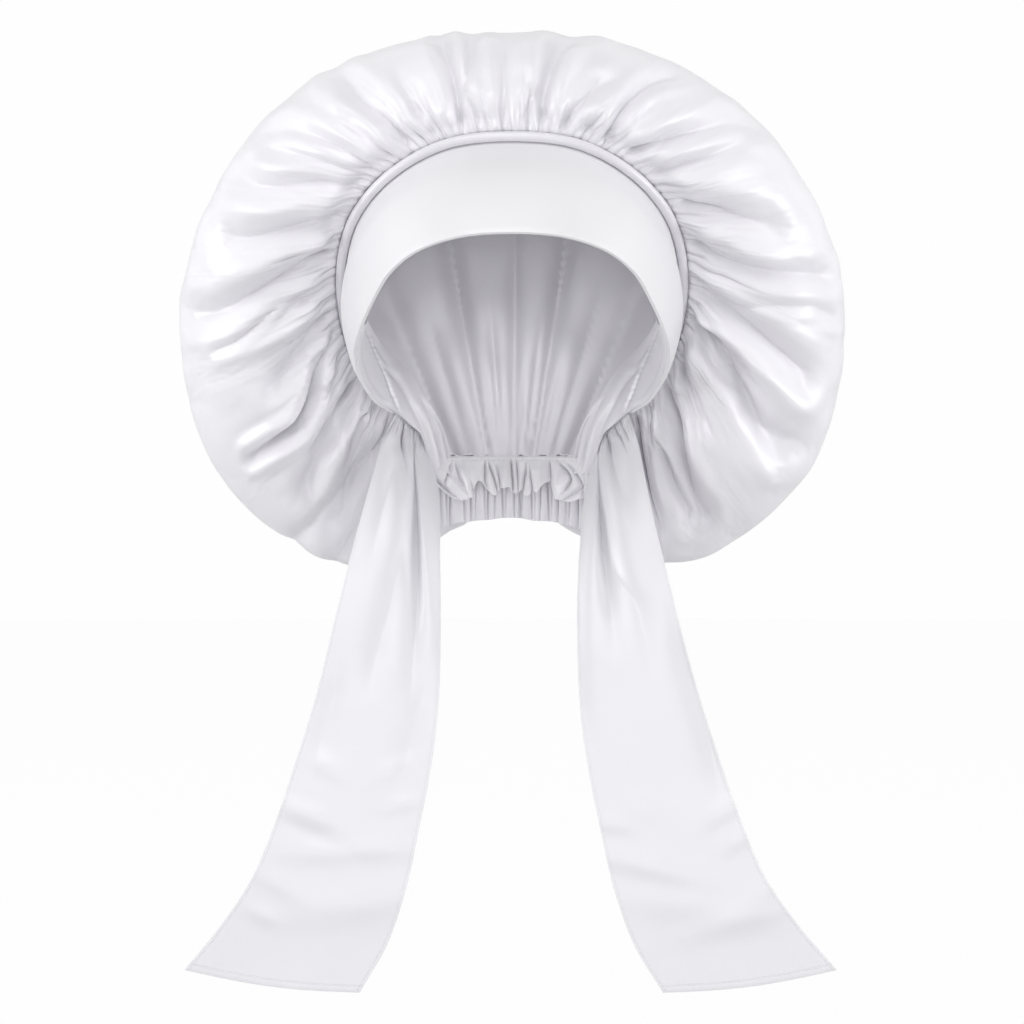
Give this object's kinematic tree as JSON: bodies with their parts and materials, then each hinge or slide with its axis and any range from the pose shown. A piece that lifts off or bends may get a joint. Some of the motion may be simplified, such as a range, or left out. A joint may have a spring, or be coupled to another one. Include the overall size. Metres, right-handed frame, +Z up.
{
  "type": "sleep bonnet",
  "caption": "Satin sleep bonnet with a large gathered crown, a wide smooth front band with piped seam, an elastic ruffled nape and long flat ties",
  "frame": {"origin": "middle of the head opening, where the wearer's head sits", "axes": "+Z up as worn, the face looks along -Y, +X is the wearer's left"},
  "size_m": [0.383, 0.2833, 0.5294],
  "materials": {
    "crown_satin": "white satin with soft sheen",
    "band_satin": "smooth white satin over a soft interlining",
    "piping_satin": "satin covered cord",
    "lining_satin": "white satin seen in shade",
    "tie_satin": "white satin with narrow stitched hems"
  },
  "bodies": {
    "root": {"crown": "crown_satin", "front_band": "band_satin", "piping": "piping_satin", "side_facing_left": "lining_satin", "side_facing_right": "lining_satin", "nape_casing": "lining_satin", "nape_ruffle": "crown_satin", "tie_left": "tie_satin", "tie_right": "tie_satin"}
  },
  "joints": []
}
